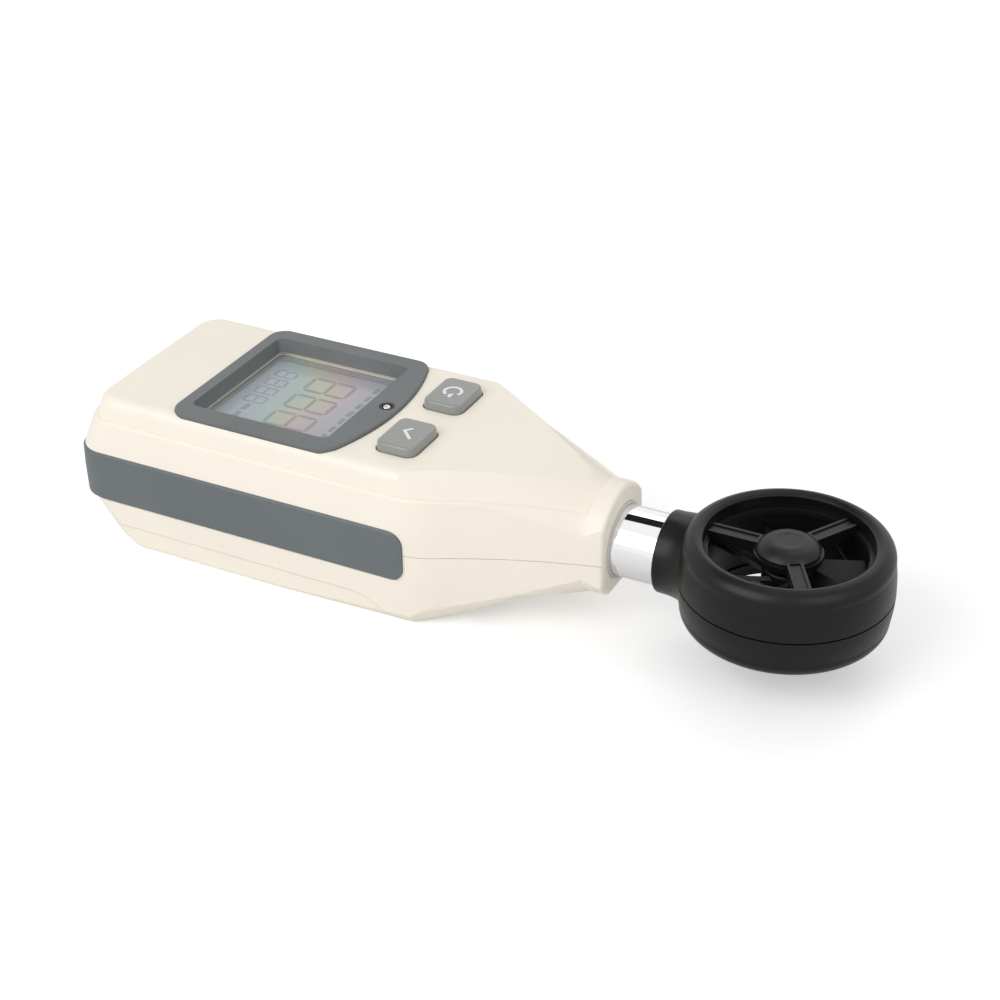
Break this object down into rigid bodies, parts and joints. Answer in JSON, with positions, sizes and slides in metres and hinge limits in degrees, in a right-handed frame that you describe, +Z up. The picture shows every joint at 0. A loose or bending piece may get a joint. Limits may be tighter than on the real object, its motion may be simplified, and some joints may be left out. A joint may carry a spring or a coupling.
{
  "type": "handheld weather meter",
  "caption": "Pocket wind and temperature meter: flat case with display and keys, and a swivelling ducted vane head on a short bright tube.",
  "frame": {"origin": "on the floor under the middle of the whole object as it lies on its back", "axes": "+X along the length from the base end towards the vane head, +Y across, +Z up out of the display"},
  "size_m": [0.1624, 0.045, 0.0349],
  "materials": {
    "case_cream": "fine matt texture",
    "bumper_rubber": "matt slate grey",
    "bezel_plastic": "fine matt texture",
    "window_clear": "clear polished",
    "lcd_glass": "grey-green screen",
    "zebra_rubber": "soft",
    "sensor_steel": "polished",
    "grommet_rubber": "matt",
    "key_silicone": "soft silicone",
    "carbon_pill": "matt",
    "mat_silicone": "soft silicone",
    "board_green": "solder resist",
    "chip_black": "matt",
    "metal_can": "satin",
    "brass_can": "satin",
    "connector_white": "matt",
    "screw_steel": "satin",
    "spring_steel": "satin",
    "contact_nickel": "satin",
    "cell_jacket": "printed jacket",
    "bush_plastic": "matt",
    "chrome": "polished",
    "friction_plastic": "matt",
    "head_plastic": "satin black",
    "spider_plastic": "satin black",
    "impeller_plastic": "satin dark",
    "magnet_black": "sintered",
    "jewel_bearing": "polished",
    "lead_pvc": "pvc"
  },
  "bodies": {
    "handset": {"front_case": "case_cream", "rear_case": "case_cream", "side_bumper": "bumper_rubber", "display_bezel": "bezel_plastic", "display_window": "window_clear", "lcd_module": "lcd_glass", "zebra_strips": "zebra_rubber", "temperature_sensor": "sensor_steel", "sensor_grommet": "grommet_rubber", "keypad_mat": "mat_silicone", "main_board": "board_green", "microcontroller": "chip_black", "pressure_sensor": "metal_can", "piezo_buzzer": "brass_can", "lead_connector": "connector_white", "board_screws": "screw_steel", "case_screws": "screw_steel", "battery_springs": "spring_steel", "base_contacts": "contact_nickel", "front_contacts": "contact_nickel", "battery_cell_1": "cell_jacket", "battery_cell_2": "cell_jacket", "battery_cell_3": "cell_jacket", "neck_bush": "bush_plastic", "case_lead": "lead_pvc"},
    "mode_button": {"mode_key": "key_silicone", "mode_pill": "carbon_pill"},
    "set_button": {"set_key": "key_silicone", "set_pill": "carbon_pill"},
    "door": {"battery_door": "case_cream"},
    "head": {"neck_tube": "chrome", "retaining_flange": "bush_plastic", "friction_ring": "friction_plastic", "head_upper_shell": "head_plastic", "head_lower_shell": "head_plastic", "head_screws": "screw_steel", "upper_spider": "spider_plastic", "lower_spider": "spider_plastic", "upper_bearing": "jewel_bearing", "lower_bearing": "jewel_bearing", "hall_sensor": "chip_black", "head_lead": "lead_pvc"},
    "rotor": {"impeller": "impeller_plastic", "rotor_shaft": "screw_steel", "rotor_magnet": "magnet_black"}
  },
  "joints": [
    {"name": "mode_press", "type": "slide", "parent": "handset", "child": "mode_button", "axis": [0, 0, -1], "range_m": [0, 0.0008], "stiffness_N_per_m": 800, "springref_m": -0.0002},
    {"name": "set_press", "type": "slide", "parent": "handset", "child": "set_button", "axis": [0, 0, -1], "range_m": [0, 0.0008], "stiffness_N_per_m": 800, "springref_m": -0.0002},
    {"name": "door_slide", "type": "slide", "parent": "handset", "child": "door", "axis": [-1, 0, 0], "range_m": [0, 0.066]},
    {"name": "head_swivel", "type": "hinge", "parent": "handset", "child": "head", "pos_m": [0.0287, 0, 0.0176], "axis": [1, 0, 0], "range_deg": [-90, 90]},
    {"name": "impeller_spin", "type": "hinge", "parent": "head", "child": "rotor", "pos_m": [0.0616, 0, 0.0176], "axis": [0, 0, 1], "continuous": true}
  ]
}
